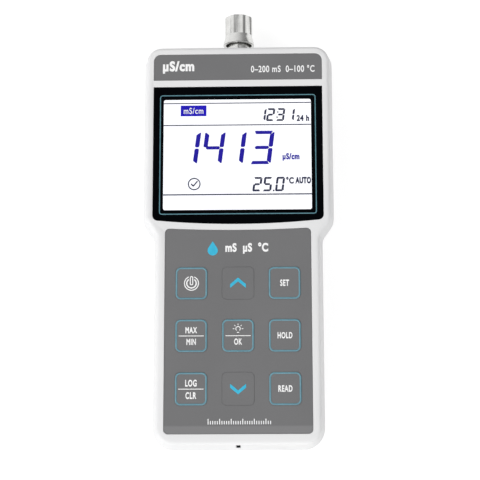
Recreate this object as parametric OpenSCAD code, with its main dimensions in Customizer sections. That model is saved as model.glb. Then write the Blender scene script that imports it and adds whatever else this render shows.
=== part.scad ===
// Portable conductivity meter, lying on its back.
// X runs across the case, Y along it towards the socket, Z out of the display.
// The origin is on the flat back, under the middle of the case.

/* [Case] */
// Width of the head at the seam
case_w = 86; // [78:0.5:100]
// Length of the case at the seam
case_l = 183.4; // [176:0.1:210]
// Thickness of the case
case_h = 33; // [32:0.5:42]
// Height of the seam above the back
seam_z = 23; // [22:0.25:26]
// How far the grip steps in from the head on each side
shoulder_step = 5.2; // [3:0.1:8]
// Plan radius of the two corners beside the socket
head_r = 8.4; // [8:0.1:14]
// Plan radius of the two corners at the foot
foot_r = 9.5; // [8:0.1:14]
// Where the straight side of the head ends, from the end of the case
shoulder_from_top = 79.7; // [74:0.1:84]
// Plan radius of the shoulder
shoulder_r = 9; // [8:0.1:12]
// Plan radius of the hollow below the shoulder
waist_r = 6; // [2:0.1:10]
// Steepest slant of the shoulder
shoulder_angle = 35; // [25:1:50]
// How far the front half leans in between the seam and the face
front_draft = 1.6; // [0.8:0.1:2.4]
// How far the back half leans in between the seam and the back
back_draft = 3; // [1:0.1:3.4]
// Radius of the edge round the face
front_r = 1.6; // [0.8:0.1:2.4]
// Radius of the edge round the back
back_r = 4; // [2:0.1:4.4]
// Wall at the sides
wall = 2.4; // [2:0.1:2.6]
// Wall behind the face
front_wall = 3.2; // [3:0.1:3.6]
// Wall of the back
back_wall = 2.4; // [2:0.1:3]

/* [Case screws] */
// Radius of the screw pillars
pillar_r = 3.75; // [3.5:0.05:4.2]
// Radius of the case screws
screw_r = 1.5; // [1.2:0.05:1.6]
// Radius of a case screw's head
screw_head_r = 2.75; // [2.4:0.05:2.9]
// Height of a case screw's head
screw_head_h = 2; // [1.5:0.1:2.5]
// Depth of the counterbore that a case screw sits in
screw_sink = 8; // [5:0.25:11]
// Length of a case screw under its head
screw_l = 18; // [15:0.5:19]

/* [Header plate] */
// Length of the header plate along the case
header_l = 12.35; // [8:0.05:15]
// Thickness of the header plate
header_t = 0.5; // [0.3:0.05:0.8]
// Radius of the header plate's upper corners
header_r = 3.2; // [1:0.1:5]
// From the end of the face to the header plate
header_margin = 3.4; // [2:0.1:5]
// White bridge between the header plate and the window
bridge = 3.05; // [2:0.05:5]

/* [Window] */
// From the side of the face to the window
side_margin = 3.25; // [2:0.05:5]
// Length of the window, measured at its sides
window_l = 61.95; // [56:0.05:68]
// How far the lower edge of the window bows down in the middle
window_sag = 1.95; // [0:0.05:2.4]
// Radius of the window's lower corners
window_r = 2.5; // [0.5:0.1:4]
// Thickness of the window pane
lens_t = 1.6; // [1:0.1:2]
// Thickness of the gasket under the pane
gasket_t = 0.2; // [0.1:0.05:0.4]
// How far the pane lies below the face
lens_sink = 0.2; // [0.1:0.05:0.5]

/* [Display] */
// Border of the window beside the display glass
lcd_border = 2.9; // [2.6:0.05:6]
// Border of the window above the display glass
lcd_border_top = 3.9; // [2.5:0.05:7]
// Border of the window below the display glass, at the sides
lcd_border_foot = 2.05; // [1.6:0.05:5]
// How far the display lies left of the middle
lcd_left = 0.35; // [0:0.05:0.8]
// Thickness of the display glass
lcd_t = 2.2; // [1.6:0.1:2.6]
// Space between the pane and the display glass
lcd_gap = 0.8; // [0.4:0.05:1.2]
// Thickness of the light guide behind the display glass
backlight_t = 3.4; // [3:0.1:3.8]
// Wall of the frame that holds the display
lcd_frame_wall = 1.3; // [1:0.05:1.6]

/* [Keypad] */
// From the side of the face to the keypad
keypad_margin = 3.8; // [2.5:0.05:6]
// White rib between the window and the keypad
rib = 2.7; // [2:0.05:5]
// From the foot of the face to the keypad
keypad_foot = 4.6; // [3:0.05:8]
// How far the upper edge of the keypad bows down in the middle
keypad_sag = 0.9; // [0:0.05:2.4]
// Radius of the keypad's corners
keypad_r = 2; // [0.5:0.1:4]
// Thickness of the keypad overlay
keypad_t = 1.1; // [0.8:0.05:1.3]
// How far the overlay lies below the face
keypad_sink = 0.2; // [0.1:0.05:0.4]
// Width of a key
key_w = 13.9; // [11:0.1:16]
// Length of a key
key_l = 14.3; // [11:0.1:17]
// Radius of a key's corners
key_r = 2; // [0.5:0.1:3.5]
// How far a key stands above the overlay
key_proud = 0.1; // [0:0.05:0.4]
// From one column of keys to the next
key_pitch_x = 20.5; // [19:0.1:22]
// From one row of keys to the next
key_pitch_y = 23.3; // [20:0.1:24]
// From the top of the keypad to the middle of the first row
key_first = 24; // [20:0.1:25]
// How far a key goes down
key_travel = 0.35; // [0.2:0.05:0.4]
// Gap between a key and the overlay round it
key_gap = 0.15; // [0.1:0.05:0.4]
// Flange under the overlay that keeps a key in
key_flange = 0.8; // [0.5:0.05:1.2]
// Radius of the stem under a key
stem_r = 2.2; // [1.5:0.05:2.6]
// Gap between a stem and its hole
stem_gap = 0.4; // [0.3:0.05:0.6]

/* [Circuit board] */
// Thickness of the circuit board
board_t = 1.6; // [1:0.1:2]
// Radius of the board screws
board_screw_r = 1.1; // [0.9:0.05:1.3]
// Radius of the posts that carry the board
post_r = 2.5; // [2.2:0.05:3]
// Side of a key switch
switch_w = 6; // [4.5:0.1:7]
// Radius of a key switch's button
switch_button_r = 1.75; // [1.2:0.05:2]
// Height of a key switch's button above its body
switch_button_h = 0.65; // [0.5:0.05:0.9]

/* [Battery] */
// Radius of a round cell
cell_r = 7.25; // [5.25:0.05:7.25]
// Length of a cell
cell_l = 50.5; // [44:0.1:50.5]
// Gap between neighbouring cells
cell_gap = 0.6; // [0.3:0.05:0.9]
// Room at each end of the cells for the contacts
contact_room = 3.25; // [2.5:0.05:4]
// Width of the battery door
door_w = 50; // [49.6:0.1:51]
// Length of the battery door
door_l = 72; // [70:0.1:74]
// Thickness of the battery door
door_t = 2; // [1.6:0.1:2.4]
// Thickness of the door's gasket
door_gasket_t = 0.3; // [0.2:0.05:0.5]
// How far the door lies below the back
door_sink = 0.3; // [0.2:0.05:0.5]
// From the foot of the case to the battery door
door_from_foot = 18.7; // [17.7:0.1:19.7]
// Radius of the door screws
door_screw_r = 1.25; // [1:0.05:1.4]

/* [Kickstand] */
// Width of the kickstand
stand_w = 46; // [34:0.5:48]
// From the free end of the kickstand to the battery door
stand_to_door = 16.5; // [14:0.5:26]
// Thickness of the kickstand
stand_t = 3; // [2.6:0.1:3.4]
// How far the kickstand lies below the back
stand_sink = 0.35; // [0.3:0.05:0.6]
// From the end of the case to the hinge
stand_from_top = 16.2; // [15.2:0.1:17.2]
// Radius of the hinge pins
pin_r = 1; // [0.8:0.05:1.1]
// Running gap round a hinge pin
pin_gap = 0.05; // [0.03:0.01:0.08]
// Gap round the kickstand in its recess
stand_gap = 0.3; // [0.2:0.05:0.6]

/* [Socket] */
// Height of the socket's axis above the back
socket_z = 15.5; // [15:0.25:15.5]
// Radius of the barrel that a plug goes on
barrel_r = 4.8; // [4.2:0.05:4.8]
// Length of the barrel in front of its flange
barrel_l = 10.6; // [9:0.1:12]
// Bore of the barrel
barrel_bore_r = 4.05; // [3.4:0.05:4.05]
// Radius of the flange
flange_r = 6.2; // [6:0.05:6.6]
// Thickness of the flange
flange_t = 2; // [1.5:0.1:2.5]
// Radius of a bayonet lug
lug_r = 1; // [0.7:0.05:1]
// How far a lug stands out of the barrel
lug_h = 0.75; // [0.4:0.05:0.75]
// From the end of the barrel to the bayonet lugs
lug_from_end = 5.6; // [4.6:0.1:6]
// Radius of the threaded neck behind the flange
neck_r = 4.7; // [4.4:0.05:4.7]
// Length of the threaded neck behind the flange
neck_l = 12; // [11:0.1:13]

/* [Socket cap] */
// Gap between the flange and the mouth of the cap
cap_standoff = 1.8; // [1:0.1:3]
// Length of the fluted ring
ring_l = 13.9; // [13.6:0.1:16]
// Radius of the fluted part
ring_r = 6.35; // [6.3:0.05:6.8]
// Radius at the flared mouth
mouth_r = 7.25; // [6.8:0.05:7.5]
// Length of the smooth collar
collar_l = 4.65; // [3:0.05:6]
// Number of flutes
flutes = 7; // [4:1:8]
// Radius of the tool that cuts a flute
flute_r = 5.75; // [2:0.05:6.5]
// Depth of a flute
flute_depth = 0.75; // [0.4:0.05:0.8]
// Angle from straight up to the first flute
flute_phase = -1; // [-20:1:20]
// Gap between the ring's bore and the lugs
lug_gap = 0.35; // [0.3:0.05:0.45]
// Radius of the cap's shank, on which the ring turns
shank_r = 4.4; // [3.6:0.05:4.5]
// Running gap between the shank and the ring
shank_gap = 0.06; // [0.03:0.01:0.08]

/* [Hidden] */

$fn = 72;
over = 1;
corner_steps = 10;
bend_steps = 5;
edge_steps = 5;
outline_fn = 32;

case_colour = "#e2e2e2";
panel_colour = "#767779";
dark_colour = "#17181a";
metal_colour = "#c4c6c8";
board_colour = "#1f6b3a";
steel_colour = "#9a9da1";

grip_w = case_w - 2 * shoulder_step;
face_w = case_w - 2 * front_draft;
face_l = case_l - 2 * front_draft;
grip_face_w = grip_w - 2 * front_draft;
ceiling = case_h - front_wall;
inner_r = 0.6;
root = 1;
thread_gap = 0.02;
foot_slot = [1.9, 2, 4.5];
foot_slot_z = seam_z + 3.5;

shoulder_y = case_l / 2 - shoulder_from_top;
bend = min(1, 0.9 * shoulder_step / ((shoulder_r + waist_r) * (1 - cos(shoulder_angle))));
bend_out = shoulder_r * bend;
bend_in = waist_r * bend;
slant_l = (shoulder_step - (bend_out + bend_in) * (1 - cos(shoulder_angle))) / sin(shoulder_angle);
waist_y = shoulder_y - (bend_out + bend_in) * sin(shoulder_angle) - slant_l * cos(shoulder_angle);

header_top = face_l / 2 - header_margin;
header_y = header_top - header_l / 2;
header_depth = header_t + 0.1;
pane_play = 0.1;
window_w = face_w - 2 * side_margin;
window_top = header_top - header_l - bridge;
lens_z = case_h - lens_sink - lens_t;
pocket_z = lens_z - gasket_t;

lcd_w = window_w - 2 * lcd_border;
lcd_l = window_l - lcd_border_top - lcd_border_foot;
lcd_x = -lcd_left;
lcd_y = window_top - lcd_border_top - lcd_l / 2;
lcd_z = lens_z - lcd_gap - lcd_t;
lcd_play = 0.1;
lcd_hole_play = 0.35;
backlight_w = lcd_w - 2.5;
backlight_l = lcd_l - 8;
frame_floor = 0.4;
frame_top = ceiling - 0.2;
strip_w = 2.2;
strip_l = lcd_w - 10;
strip_y = lcd_l / 2 - 2.4;

keypad_w = grip_face_w - 2 * keypad_margin;
keypad_top = window_top - window_l - window_sag - rib;
keypad_end = -face_l / 2 + keypad_foot;
keypad_z = case_h - keypad_sink - keypad_t;
key_row_y = keypad_top - key_first;
key_top = keypad_z + keypad_t + key_proud;
key_seat_gap = 0.05;
flange_h = 0.35;
flange_z = keypad_z - key_seat_gap - flange_h;
key_pocket_z = flange_z - key_travel - key_seat_gap;
key_cells = [for (row = [0:2]) for (col = [-1:1]) [col * key_pitch_x, key_row_y - row * key_pitch_y]];

board_top = lcd_z - backlight_t - frame_floor;
board_z = board_top - board_t;
switch_h = 3.5;
stem_end = board_top + switch_h + switch_button_h + key_travel + key_seat_gap;
board_head_w = face_w - 9.8;
board_head_y0 = lcd_y - lcd_l / 2 - 1.2;
board_head_y1 = lcd_y + lcd_l / 2 + 4.6;
board_tongue_y1 = board_head_y1 + 4;
board_grip_w = grip_w - 15.6;
board_grip_y0 = keypad_end + 11.5;
board_grip_y1 = shoulder_y - 14;
board_neck_w = 44;
board_tongue_w = 50;
posts = [
  [21, board_tongue_y1 - 3], [-21, board_tongue_y1 - 3],
  [board_grip_w / 2 - 4, board_grip_y0 + 3], [-board_grip_w / 2 + 4, board_grip_y0 + 3]
];
board_screw_head_r = 2;
board_screw_head_h = 1.3;
board_screw_l = board_t + 4;
buzzer_place = [-22, lcd_y + 18.6];
buzzer_r = 6;
buzzer_h = 4.5;
// Chips on the underside of the board, as [x, y, width, length, height]
chips = [
  [0, lcd_y - 1.4, 14, 14, 1.6], [-20, lcd_y - 15.4, 8, 6, 1.5], [19, lcd_y - 17.4, 6, 5, 1.5],
  [12, lcd_y + 18.6, 10, 5, 1.7], [-14, board_grip_y1 - 4, 5, 6, 1.5]
];

bay_w = 3 * 2 * cell_r + 2 * cell_gap + 1.7;
bay_l = cell_l + 2 * contact_room;
door_y = -case_l / 2 + door_from_foot + door_l / 2;
door_z = door_sink;
door_play = 0.2;
ledge_z = door_z + door_t + door_gasket_t;
cell_z = ledge_z + 0.5 + cell_r;
bay_roof = cell_z + cell_r + 0.6;
tub_roof = bay_roof + 1.6;
tub_w = door_w + 4;
tub_l = door_l + 4;
door_screw_x = door_w / 2 - 6;
door_screw_y = (door_l / 2 + bay_l / 2) / 2;
door_screw_head_r = 2.2;
door_screw_head_h = 1.1;
door_screw_l = 8;
cell_pitch = 2 * cell_r + cell_gap;
plate_t = 0.4;
plate_w = 11;
tab_w = 3;
tab_play = 0.4;
nub_l = 1;
nub_r = 0.38 * cell_r;
label_place = [34, 26, 2];
label_sink = 0.25;

screws = [
  [case_w / 2 - 12, case_l / 2 - 12.5], [-case_w / 2 + 12, case_l / 2 - 12.5],
  [door_w / 2 + 2, shoulder_y - 6.5], [-door_w / 2 - 2, shoulder_y - 6.5],
  [door_w / 2 + 2, -case_l / 2 + 10.5], [-door_w / 2 - 2, -case_l / 2 + 10.5]
];

stand_y = case_l / 2 - stand_from_top;
stand_l = stand_y - door_y - door_l / 2 - stand_to_door;
stand_z = stand_sink + stand_t / 2;
stand_recess_z = stand_sink + stand_t + stand_gap;
stand_pad_wall = 2.2;
stand_corner_r = 6;
pin_l = 10;
pin_in_stand = 6;
pin_room = 0.3;
stand_pad_w = stand_w + 2 * stand_gap + 2 * (pin_l - pin_in_stand) + 4;
notch_w = 18;
notch_l = 5;
grip_lines = 4;
grip_pitch = 2.4;
grip_line_w = 1.1;
grip_depth = 0.5;
panel_side = 5;
panel_depth = 0.4;

seal_in = 0.8;
seal_w = 0.9;
seal_h = 1;

socket_y = case_l / 2 + 0.4;
socket_pad_r = 7.3;
socket_pad_l = 5.4;
socket_gasket_t = 0.5;
socket_washer_t = 0.6;
nut_t = 2.5;
nut_flats = 12.7;
flange_y = socket_y + socket_gasket_t;
barrel_y = flange_y + flange_t;
barrel_end = barrel_y + barrel_l;
lug_y = barrel_end - lug_from_end;
pad_back = socket_y - socket_pad_l;
contact_r = 1.1;
contact_end = barrel_end - 3;
insulator_r = 2.4;

mouth_y = barrel_y + cap_standoff;
ring_end = mouth_y + ring_l;
chamber_r = barrel_r + lug_h + lug_gap;
cap_gasket_t = 0.6;
cap_disc_y = barrel_end + cap_gasket_t;
cap_disc_t = 1.1;
chamber_end = lug_y + lug_r + 0.4;
bore_r = barrel_r + 0.25;
cap_disc_r = bore_r - 0.1;
shelf_y = cap_disc_y + cap_disc_t + 0.1;
cap_head_t = 1.2;
cap_head_r = shank_r + 0.6;
cap_head_y = ring_end - cap_head_t;
head_room_r = cap_head_r + 0.15;
head_room_y = cap_head_y - 0.1;
flute_y = max(mouth_y + collar_l + 0.15, chamber_end + 0.2);

function arc(c, r, a0, a1, n) =
  [for (i = [0:n]) let (a = a0 + (a1 - a0) * i / n) c + r * [cos(a), sin(a)]];

// Right side of the case seen from above, from the foot to the end with the socket
function side(inset) = concat(
  arc([grip_w / 2 - foot_r, -case_l / 2 + foot_r], foot_r - inset, -90, 0, corner_steps),
  arc([grip_w / 2 + bend_in, waist_y], bend_in + inset, 180, 180 - shoulder_angle, bend_steps),
  arc([case_w / 2 - bend_out, shoulder_y], bend_out - inset, -shoulder_angle, 0, bend_steps),
  arc([case_w / 2 - head_r, case_l / 2 - head_r], head_r - inset, 0, 90, corner_steps)
);

function outline(inset) = let (s = side(inset))
  concat(s, [for (i = [len(s) - 1:-1:0]) [-s[i][0], s[i][1]]]);

// Rings of the round edge at the face and at the back, as [inset, height]
function front_edge(inset, top, r) =
  [for (i = [0:edge_steps]) let (a = 90 * i / edge_steps) [inset + r * (1 - cos(a)), top - r * (1 - sin(a))]];
function back_edge(inset, base, r) =
  [for (i = [edge_steps:-1:0]) let (a = 90 * i / edge_steps) [inset + r * (1 - cos(a)), base + r * (1 - sin(a))]];

// Solid between outlines that are stacked from the lowest ring to the highest.
// Its two ends are strips from side to side, so that they follow the waist.
module loft(rings) {
  n = len(outline(0));
  last = (len(rings) - 1) * n;
  points = [for (ring = rings) for (p = outline(ring[0])) [p[0], p[1], ring[1]]];
  walls = [
    for (k = [0:len(rings) - 2]) for (i = [0:n - 1])
      let (a = k * n + i, b = k * n + (i + 1) % n)
        each [[a, a + n, b], [b, a + n, b + n]]
  ];
  base = [for (i = [0:n / 2 - 2]) each [[i, i + 1, n - 1 - i], [i + 1, n - 2 - i, n - 1 - i]]];
  top = [for (f = base) [last + f[2], last + f[1], last + f[0]]];
  polyhedron(points, concat(base, walls, top));
}

module front_solid() {
  loft(concat([[0, seam_z]], front_edge(front_draft, case_h, front_r)));
}

module front_cavity() {
  lean = wall + front_draft;
  loft([[wall, seam_z - over], [wall, seam_z], [lean, ceiling - inner_r], [lean + inner_r, ceiling]]);
}

module rear_solid() {
  loft(concat(back_edge(back_draft, 0, back_r), [[0, seam_z]]));
}

module rear_cavity() {
  lean = wall + back_draft;
  soft = max(0.6, back_r - back_wall);
  loft([[lean + soft, back_wall], [lean, back_wall + soft], [wall, seam_z], [wall, seam_z + over]]);
}

module rounded(w, l, r) {
  offset(r = r, $fn = outline_fn) offset(delta = -r) square([w, l], center = true);
}

module block(w, l, z0, z1) {
  translate([-w / 2, -l / 2, z0]) cube([w, l, z1 - z0]);
}

module rod(r, z0, z1) {
  translate([0, 0, z0]) cylinder(r = r, h = z1 - z0);
}

// Cylinder along Y on the socket's axis
module turned(r, y0, y1) {
  translate([0, y0, socket_z]) rotate([-90, 0, 0]) cylinder(r = r, h = y1 - y0);
}

module at_each(places) {
  for (p = places) translate([p[0], p[1], 0]) children();
}

module header_plan() {
  translate([0, header_y]) union() {
    rounded(window_w, header_l, header_r);
    translate([-window_w / 2, -header_l / 2]) square([window_w, header_l / 2]);
  }
}

// Curve that bows down by sag in the middle, from the left to the right
function bow(w, y, sag) =
  [for (i = [0:24]) let (x = -w / 2 + w * i / 24) [x, y - sag * (1 - pow(2 * x / w, 2))]];

module window_plan(grow = 0) {
  offset(delta = grow) union() {
    offset(r = window_r, $fn = outline_fn) offset(delta = -window_r)
      polygon(concat([[window_w / 2, window_top], [-window_w / 2, window_top]],
        bow(window_w, window_top - window_l, window_sag)));
    translate([-window_w / 2, window_top - window_l / 2]) square([window_w, window_l / 2]);
  }
}

module keypad_plan() {
  offset(r = keypad_r, $fn = outline_fn) offset(delta = -keypad_r)
    polygon(concat([[-keypad_w / 2, keypad_end], [keypad_w / 2, keypad_end]],
      bow(-keypad_w, keypad_top + keypad_sag, keypad_sag)));
}

module at_lcd() {
  translate([lcd_x, lcd_y, 0]) children();
}

module key_plan(grow = 0) {
  rounded(key_w + 2 * grow, key_l + 2 * grow, key_r + grow);
}

module front_case() color(case_colour) difference() {
  union() {
    difference() {
      front_solid();
      front_cavity();
    }
    at_each(screws) rod(pillar_r, seam_z, ceiling + root);
    at_each(posts) rod(post_r, board_top, ceiling + root);
  }
  translate([0, 0, case_h - header_depth]) linear_extrude(over + header_depth) header_plan();
  translate([0, 0, pocket_z]) linear_extrude(case_h) window_plan();
  translate([0, -case_l / 2, foot_slot_z]) block(foot_slot[0], 2 * foot_slot[1], 0, foot_slot[2]);
  at_lcd() block(lcd_w + 2 * lcd_hole_play, lcd_l + 2 * lcd_hole_play, ceiling - over, case_h);
  translate([0, 0, keypad_z]) linear_extrude(case_h) keypad_plan();
  at_each(key_cells) {
    translate([0, 0, key_pocket_z]) linear_extrude(case_h) key_plan(key_flange + key_gap);
    rod(stem_r + stem_gap, seam_z, case_h);
  }
  at_each(screws) rod(screw_r + thread_gap, seam_z - over, ceiling - 1);
  at_each(posts) rod(board_screw_r + thread_gap, board_top - over, ceiling - 0.6);
}

module rear_case() color(case_colour) difference() {
  union() {
    difference() {
      rear_solid();
      rear_cavity();
    }
    at_each(screws) rod(pillar_r, root, seam_z);
    translate([0, door_y, 0]) block(tub_w, tub_l, root, tub_roof);
    translate([0, stand_y - stand_l / 2, 0])
      block(stand_pad_w, stand_l + 10, root, stand_recess_z + stand_pad_wall);
    turned(socket_pad_r, pad_back, socket_y);
  }
  battery_room();
  stand_room();
  at_each(screws) {
    rod(screw_head_r + 0.35, -over, screw_sink);
    rod(screw_r + 0.2, 0, seam_z + over);
  }
  turned(neck_r + 0.1, pad_back - over, socket_y + over);
  translate([0, 0, seam_z - seal_h]) linear_extrude(seal_h + over) seal_plan(0.05);
}

module battery_room() {
  translate([0, door_y, 0]) {
    translate([0, 0, -over]) linear_extrude(over + ledge_z) rounded(door_w + 2 * door_play, door_l + 2 * door_play, 3);
    block(bay_w, bay_l, 0, bay_roof);
    for (x = [-1, 1], y = [-1, 1]) translate([x * door_screw_x, y * door_screw_y, 0])
      rod(door_screw_r + thread_gap, 0, ledge_z + door_screw_l);
    for (s = [-1, 1]) translate([s * cell_pitch, s * (bay_l / 2 - plate_t / 2), 0])
      block(tab_w + tab_play, plate_t + tab_play, bay_roof - over, tub_roof + over);
  }
}

module stand_room() {
  length = stand_l + stand_t / 2 + 2 * stand_gap;
  translate([0, stand_y + stand_t / 2 + stand_gap - length / 2, 0])
    block(stand_w + 2 * stand_gap, length, -over, stand_recess_z);
  translate([0, stand_y - stand_l - notch_l / 2, 0]) block(notch_w, notch_l + 2, -over, stand_recess_z - 0.6);
  for (s = [-1, 1]) translate([s * (stand_w / 2 + stand_gap - 1), stand_y, stand_z])
    rotate([0, s * 90, 0]) cylinder(r = pin_r + thread_gap, h = pin_l - pin_in_stand + 1);
}

module seal_plan(play = 0) {
  difference() {
    polygon(outline(seal_in - play));
    polygon(outline(seal_in + seal_w + play));
  }
}

module case_seal() color("#3a3c3e")
  translate([0, 0, seam_z - seal_h]) linear_extrude(seal_h) seal_plan();

// Pan head screw with a cross recess, its head at the bottom
module screw(r, head_r, head_h, length) {
  difference() {
    union() {
      rod(head_r, -head_h, 0);
      rod(r, -0.01, length);
    }
    for (a = [0, 90]) rotate(a)
      block(head_r * 1.2, head_r * 0.26, -head_h - over, -head_h * 0.4);
  }
}

module case_screws() color(steel_colour)
  at_each(screws) translate([0, 0, screw_sink]) screw(screw_r, screw_head_r, screw_head_h, screw_l);

module header_plate() color(panel_colour)
  translate([0, 0, case_h - header_depth]) linear_extrude(header_t) offset(delta = -0.1) header_plan();

module window_pane() color(dark_colour)
  translate([0, 0, lens_z]) linear_extrude(lens_t) window_plan(-pane_play);

module window_gasket() color("#2a2b2d")
  translate([0, 0, pocket_z]) linear_extrude(gasket_t) difference() {
    window_plan(-0.3);
    translate([lcd_x, lcd_y]) square([lcd_w + 2 * lcd_hole_play, lcd_l + 2 * lcd_hole_play], center = true);
  }

module lcd_glass() color("#cfd4d8")
  at_lcd() block(lcd_w, lcd_l, lcd_z, lcd_z + lcd_t);

module lcd_backlight() color("#f2f4f6")
  at_lcd() block(backlight_w, backlight_l, board_top + frame_floor, lcd_z);

module lcd_frame() color("#e8e8e4") at_lcd() difference() {
  block(lcd_w + 2 * lcd_frame_wall, lcd_l + 2 * lcd_frame_wall, board_top, frame_top);
  block(lcd_w + 2 * lcd_play, lcd_l + 2 * lcd_play, lcd_z, case_h);
  block(backlight_w + 2 * lcd_play, backlight_l + 2 * lcd_play, board_top + frame_floor, case_h);
  for (s = [-1, 1]) translate([0, s * strip_y, 0])
    block(strip_l + 2 * lcd_play, strip_w + 2 * lcd_play, board_top - over, case_h);
}

module lcd_contact_strips() color("#c86a9a") at_lcd()
  for (s = [-1, 1]) translate([0, s * strip_y, 0]) block(strip_l, strip_w, board_top, lcd_z);

module keypad_overlay() color(panel_colour)
  translate([0, 0, keypad_z]) linear_extrude(keypad_t) difference() {
    offset(delta = -0.1) keypad_plan();
    for (c = key_cells) translate(c) key_plan(key_gap);
  }

// Key in the given place, counted from the upper left: a cap, its flange and its stem
module key(place) {
  color(panel_colour) translate([key_cells[place][0], key_cells[place][1], 0]) {
    translate([0, 0, flange_z + flange_h / 2]) linear_extrude(key_top - flange_z - flange_h / 2) key_plan();
    translate([0, 0, flange_z]) linear_extrude(flange_h) key_plan(key_flange - 0.1);
    rod(stem_r, stem_end, flange_z + flange_h);
  }
}

module main_board() color(board_colour) difference() {
  translate([0, 0, board_z]) linear_extrude(board_t) union() {
    translate([-board_head_w / 2, board_head_y0]) square([board_head_w, board_head_y1 - board_head_y0]);
    translate([-board_tongue_w / 2, board_head_y1 - over]) square([board_tongue_w, board_tongue_y1 - board_head_y1 + over]);
    translate([-board_neck_w / 2, board_grip_y1 - over]) square([board_neck_w, board_head_y0 - board_grip_y1 + 2 * over]);
    translate([-board_grip_w / 2, board_grip_y0]) square([board_grip_w, board_grip_y1 - board_grip_y0]);
  }
  at_each(posts) rod(board_screw_r + 0.2, board_z - over, board_top + over);
}

module key_switches() color("#3b3d40") at_each(key_cells) {
  block(switch_w, switch_w, board_top, board_top + switch_h);
  rod(switch_button_r, board_top + switch_h - 0.2, board_top + switch_h + switch_button_h);
}

module board_chips() color("#202224")
  for (c = chips) translate([c[0], c[1], 0]) block(c[2], c[3], board_z - c[4], board_z);

module board_screws() color(steel_colour)
  at_each(posts) translate([0, 0, board_z]) screw(board_screw_r, board_screw_head_r, board_screw_head_h, board_screw_l);

module buzzer() color("#1c1d1f") translate([buzzer_place[0], buzzer_place[1], 0]) difference() {
  rod(buzzer_r, board_z - buzzer_h, board_z);
  rod(1, board_z - buzzer_h - over, board_z - buzzer_h / 2);
}

module battery_door() color(case_colour) difference() {
  translate([0, door_y, door_z]) linear_extrude(door_t) rounded(door_w, door_l, 3 - door_play);
  for (x = [-1, 1], y = [-1, 1]) translate([x * door_screw_x, door_y + y * door_screw_y, 0]) {
    rod(door_screw_r + 0.2, -over, ledge_z);
    rod(door_screw_head_r + 0.2, -over, door_z + door_screw_head_h);
  }
  translate([0, door_y, door_z - over]) linear_extrude(over + label_sink)
    rounded(label_place[0], label_place[1], label_place[2]);
}

module door_gasket() color("#3a3c3e")
  translate([0, door_y, door_z + door_t]) linear_extrude(door_gasket_t) difference() {
    rounded(door_w - 0.4, door_l - 0.4, 2.6);
    square([bay_w, bay_l], center = true);
    for (x = [-1, 1], y = [-1, 1]) translate([x * door_screw_x, y * door_screw_y]) circle(door_screw_r + 0.3);
  }

module door_screws() color(steel_colour)
  for (x = [-1, 1], y = [-1, 1]) translate([x * door_screw_x, door_y + y * door_screw_y, door_z + door_screw_head_h])
    screw(door_screw_r, door_screw_head_r, door_screw_head_h - 0.1, door_screw_l);

// Round cell, its raised end towards the socket when up is 1 and towards the foot when it is -1
module cell(column, up) {
  color("#2f5f8f") translate([column * cell_pitch, door_y, cell_z]) rotate([-90 * up, 0, 0]) {
    translate([0, 0, -cell_l / 2]) cylinder(r = cell_r, h = cell_l - nub_l);
    cylinder(r = nub_r, h = cell_l / 2);
  }
}

module contact_plates() color(metal_colour)
  translate([0, door_y, 0]) for (column = [-1:1], s = [-1, 1]) {
    y = s * (bay_l / 2 - plate_t / 2);
    raised = (column == 0) ? s == -1 : s == 1;
    reach = bay_l / 2 - cell_l / 2;
    translate([column * cell_pitch, 0, 0]) {
      translate([0, y, 0]) block(plate_w, plate_t, cell_z - plate_w / 2, cell_z + plate_w / 2);
      if (raised) translate([0, s * bay_l / 2, cell_z]) rotate([s * 90, 0, 0]) cylinder(r = 2.4, h = reach);
      if (column == s) translate([0, y, 0]) block(tab_w, plate_t, cell_z, board_z);
    }
  }

// Points round a coil that goes from the plate to the flat end of a cell
module coil(r, wire, length, turns) {
  steps = 12 * turns;
  sides = 6;
  centres = [for (i = [0:steps]) let (a = 30 * i, f = 1 - 0.35 * i / steps)
    [r * f * cos(a), r * f * sin(a), wire + (length - 2 * wire) * i / steps]];
  points = [for (i = [0:steps]) let (a = 30 * i) for (j = [0:sides - 1]) let (b = 360 * j / sides)
    centres[i] + wire * [cos(b) * cos(a), cos(b) * sin(a), sin(b)]];
  walls = [for (i = [0:steps - 1]) for (j = [0:sides - 1])
    let (p = i * sides + j, q = i * sides + (j + 1) % sides)
      each [[p, q, p + sides], [q, q + sides, p + sides]]];
  polyhedron(points, concat([[for (j = [sides - 1:-1:0]) j]], walls, [[for (j = [0:sides - 1]) steps * sides + j]]));
}

module contact_springs() color(metal_colour)
  translate([0, door_y, cell_z]) for (column = [-1:1]) {
    s = (column == 0) ? 1 : -1;
    translate([column * cell_pitch, s * (bay_l / 2 - plate_t), 0]) rotate([s * 90, 0, 0])
      coil(4.2, 0.35, contact_room - plate_t, 3);
  }

module kickstand() color(case_colour) difference() {
  union() {
    translate([0, stand_y, stand_z]) rotate([0, 90, 0])
      translate([0, 0, -stand_w / 2]) cylinder(r = stand_t / 2, h = stand_w);
    translate([0, stand_y, stand_sink]) linear_extrude(stand_t) intersection() {
      translate([0, stand_corner_r - stand_l / 2]) rounded(stand_w, stand_l + 2 * stand_corner_r, stand_corner_r);
      translate([-stand_w / 2, -stand_l]) square([stand_w, stand_l]);
    }
  }
  for (s = [-1, 1]) translate([s * (stand_w / 2 - pin_in_stand - pin_room), stand_y, stand_z])
    rotate([0, s * 90, 0]) cylinder(r = pin_r + pin_gap, h = pin_in_stand + over);
  stand_relief();
}

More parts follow.
